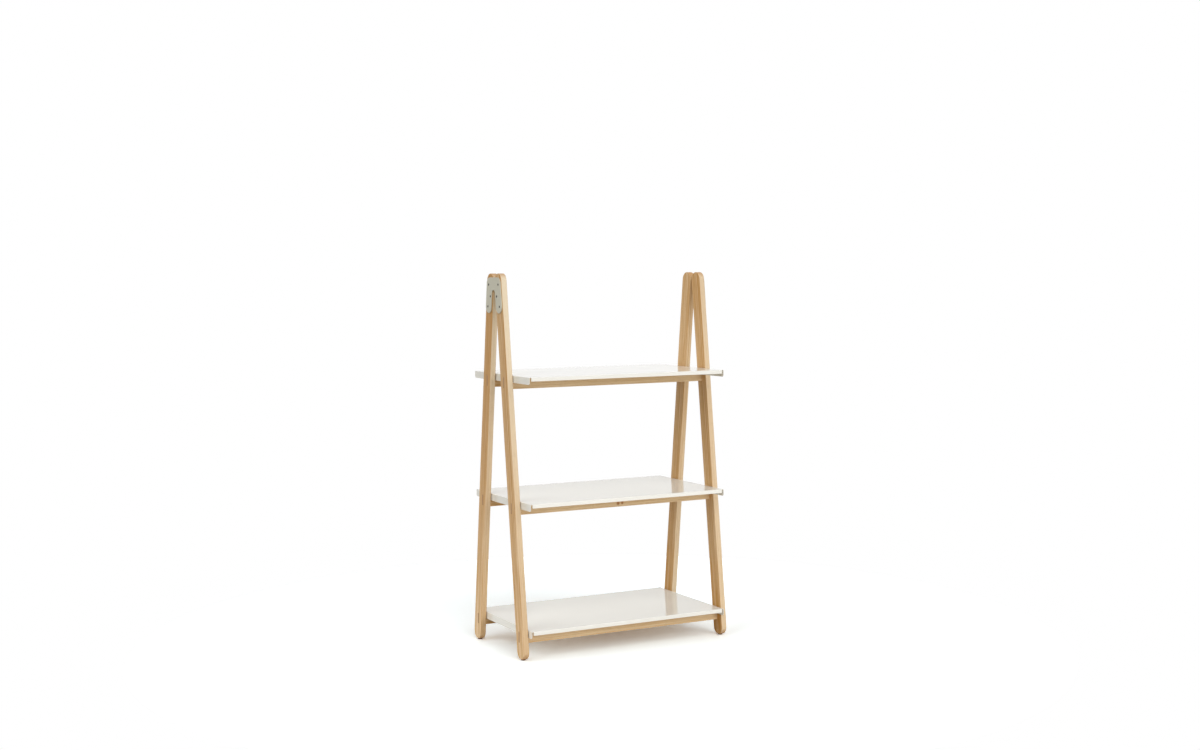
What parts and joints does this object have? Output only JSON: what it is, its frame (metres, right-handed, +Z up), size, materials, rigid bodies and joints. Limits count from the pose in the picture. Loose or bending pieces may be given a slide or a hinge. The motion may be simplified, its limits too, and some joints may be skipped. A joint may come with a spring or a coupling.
{
  "type": "open bookcase",
  "caption": "Open bookcase: leaning ash ladder frames joined at the top by steel plates, with folded white steel shelves resting on tenoned rails.",
  "frame": {"origin": "on the floor, under the middle of the bookcase", "axes": "+Z up, +X to the right along the shelves, -Y towards the front; the legs lean towards each other in Y"},
  "size_m": [0.79, 0.44, 1.27],
  "materials": {
    "ash_leg": "matt lacquered ash",
    "ash_rail": "matt lacquered ash",
    "white_powder_coat": "glossy white powder coat on folded steel sheet",
    "grey_powder_coat": "satin light grey powder coat on steel plate",
    "black_screw_steel": "black oxide on screw steel",
    "brown_glide_plastic": "moulded dark brown plastic",
    "nail_steel": "bright drawn steel"
  },
  "bodies": {
    "root": {"front_left_leg": "ash_leg", "back_left_leg": "ash_leg", "front_right_leg": "ash_leg", "back_right_leg": "ash_leg", "bottom_front_rail": "ash_rail", "bottom_back_rail": "ash_rail", "middle_front_rail": "ash_rail", "middle_back_rail": "ash_rail", "top_front_rail": "ash_rail", "top_back_rail": "ash_rail", "bottom_shelf": "white_powder_coat", "middle_shelf": "white_powder_coat", "top_shelf": "white_powder_coat", "left_apex_plate": "grey_powder_coat", "right_apex_plate": "grey_powder_coat", "left_plate_screws": "black_screw_steel", "right_plate_screws": "black_screw_steel", "front_left_glide": "brown_glide_plastic", "back_left_glide": "brown_glide_plastic", "front_right_glide": "brown_glide_plastic", "back_right_glide": "brown_glide_plastic", "glide_nails": "nail_steel"}
  },
  "joints": []
}
